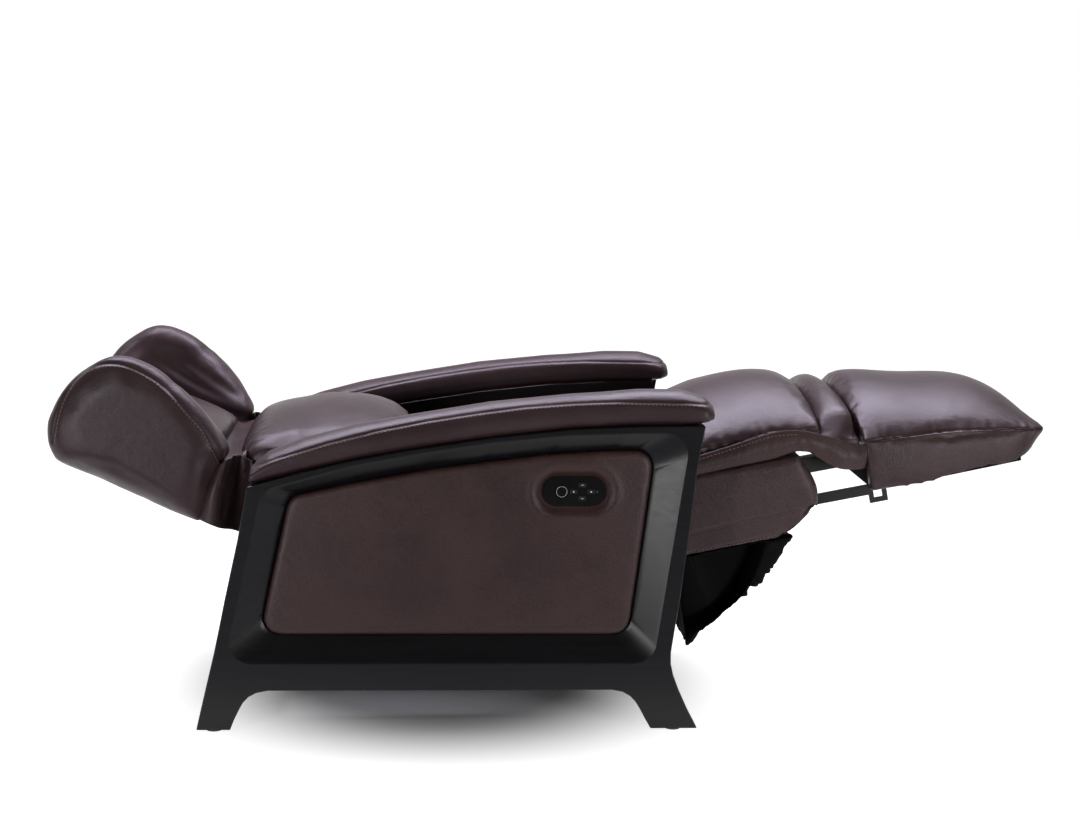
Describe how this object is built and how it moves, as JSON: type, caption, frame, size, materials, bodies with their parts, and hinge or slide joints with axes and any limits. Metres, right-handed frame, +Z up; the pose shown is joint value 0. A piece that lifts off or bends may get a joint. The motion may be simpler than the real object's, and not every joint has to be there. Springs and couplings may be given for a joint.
{
  "type": "power recliner chair",
  "caption": "Leather power recliner with black wood side frames, winged head section, motor driven back and legrest, and a side control panel, laid back at rest.",
  "frame": {"origin": "on the floor, at the middle of the length and width of the reclined chair", "axes": "+X from the head to the toes, +Y to the left of the sitter, +Z up"},
  "size_m": [1.832, 0.77, 0.6711],
  "materials": {
    "brown_leather": "satin espresso leather",
    "panel_leather": "grained espresso leather",
    "black_wood": "black satin stain",
    "frame_board": "plain board",
    "black_steel": "black powder coat",
    "zinc": "zinc plate",
    "matte_black": "moulded",
    "gloss_black": "gloss",
    "cover_cloth": "gathered non-woven cloth",
    "lens": "clear lens",
    "circuit": "circuit board"
  },
  "bodies": {
    "base": {"side_frame_right": "black_wood", "side_frame_left": "black_wood", "side_panel_right": "panel_leather", "side_panel_left": "panel_leather", "arm_pad_right": "brown_leather", "arm_pad_left": "brown_leather", "arm_board_right": "frame_board", "arm_board_left": "frame_board", "inner_panel_right": "black_wood", "inner_panel_left": "black_wood", "front_cross_rail": "frame_board", "rear_cross_rail": "frame_board", "base_rail_right": "black_steel", "base_rail_left": "black_steel", "foot_glides": "matte_black", "frame_screws": "zinc", "control_box": "matte_black", "power_inlet": "matte_black", "tilt_motor": "matte_black", "tilt_rail": "zinc", "control_panel": "gloss_black", "control_board": "circuit", "indicator_lens": "lens"},
    "seat": {"seat_frame": "black_steel", "seat_springs": "black_steel", "seat_hinge_pins": "zinc", "seat_cushion": "brown_leather", "chaise_pad": "brown_leather", "chaise_roll": "brown_leather", "seat_front_border": "brown_leather", "seat_side_border_right": "brown_leather", "seat_side_border_left": "brown_leather", "dust_cover": "cover_cloth", "leg_motor": "matte_black", "leg_rail": "zinc", "back_motor": "matte_black", "back_rail": "zinc"},
    "back": {"back_frame": "black_steel", "back_cushion": "brown_leather", "back_panel": "brown_leather", "head_hinge_pins": "zinc", "head_motor": "matte_black", "head_rail": "zinc"},
    "head": {"head_frame": "black_steel", "head_cushion": "brown_leather", "head_panel": "brown_leather", "wing_right": "brown_leather", "wing_left": "brown_leather"},
    "footrest": {"footrest_board": "frame_board", "footrest_pad": "brown_leather", "footrest_brackets": "black_steel"},
    "tilt_slider": {"tilt_yoke": "black_steel"},
    "back_slider": {"back_yoke": "black_steel"},
    "leg_slider": {"leg_yoke": "black_steel"},
    "head_slider": {"head_yoke": "black_steel"},
    "round_button_body": {"round_button": "gloss_black"},
    "up_button_body": {"up_button": "matte_black"},
    "down_button_body": {"down_button": "matte_black"},
    "preset_left_button_body": {"preset_left_button": "matte_black"},
    "preset_right_button_body": {"preset_right_button": "matte_black"}
  },
  "joints": [
    {"name": "seat_tilt", "type": "hinge", "parent": "base", "child": "seat", "pos_m": [0.1, 0, 0.3], "axis": [0, 1, 0], "range_deg": [0, 8]},
    {"name": "back_recline", "type": "hinge", "parent": "seat", "child": "back", "pos_m": [-0.43032, 0, 0.33444], "axis": [0, 1, 0], "range_deg": [0, 50]},
    {"name": "head_tilt", "type": "hinge", "parent": "back", "child": "head", "pos_m": [-0.60542, 0, 0.43915], "axis": [0, 1, 0], "range_deg": [0, 30]},
    {"name": "legrest_fold", "type": "hinge", "parent": "seat", "child": "footrest", "pos_m": [0.55597, 0, 0.48032], "axis": [0, 1, 0], "range_deg": [0, 80]},
    {"name": "tilt_drive", "type": "slide", "parent": "base", "child": "tilt_slider", "axis": [1, 0, 0], "range_m": [-0.0168, 0]},
    {"name": "back_drive", "type": "slide", "parent": "seat", "child": "back_slider", "axis": [0.9816, 0, 0.1908], "range_m": [-0.085, 0]},
    {"name": "leg_drive", "type": "slide", "parent": "seat", "child": "leg_slider", "axis": [0.9816, 0, 0.1908], "range_m": [-0.1035, 0]},
    {"name": "head_drive", "type": "slide", "parent": "back", "child": "head_slider", "axis": [0.9336, 0, -0.3584], "range_m": [-0.0212, 0]},
    {"name": "round_button_press", "type": "slide", "parent": "base", "child": "round_button_body", "axis": [0, 1, 0], "range_m": [0, 0.0015], "stiffness_N_per_m": 400},
    {"name": "up_button_press", "type": "slide", "parent": "base", "child": "up_button_body", "axis": [0, 1, 0], "range_m": [0, 0.0015], "stiffness_N_per_m": 400},
    {"name": "down_button_press", "type": "slide", "parent": "base", "child": "down_button_body", "axis": [0, 1, 0], "range_m": [0, 0.0015], "stiffness_N_per_m": 400},
    {"name": "preset_left_button_press", "type": "slide", "parent": "base", "child": "preset_left_button_body", "axis": [0, 1, 0], "range_m": [0, 0.0015], "stiffness_N_per_m": 400},
    {"name": "preset_right_button_press", "type": "slide", "parent": "base", "child": "preset_right_button_body", "axis": [0, 1, 0], "range_m": [0, 0.0015], "stiffness_N_per_m": 400}
  ],
  "couplings": [
    {"joint": "tilt_drive", "follows": "seat_tilt", "m_per_rad": -0.11901},
    {"joint": "back_drive", "follows": "back_recline", "m_per_rad": -0.096857},
    {"joint": "leg_drive", "follows": "legrest_fold", "m_per_rad": -0.073658},
    {"joint": "head_drive", "follows": "head_tilt", "m_per_rad": -0.039545}
  ]
}
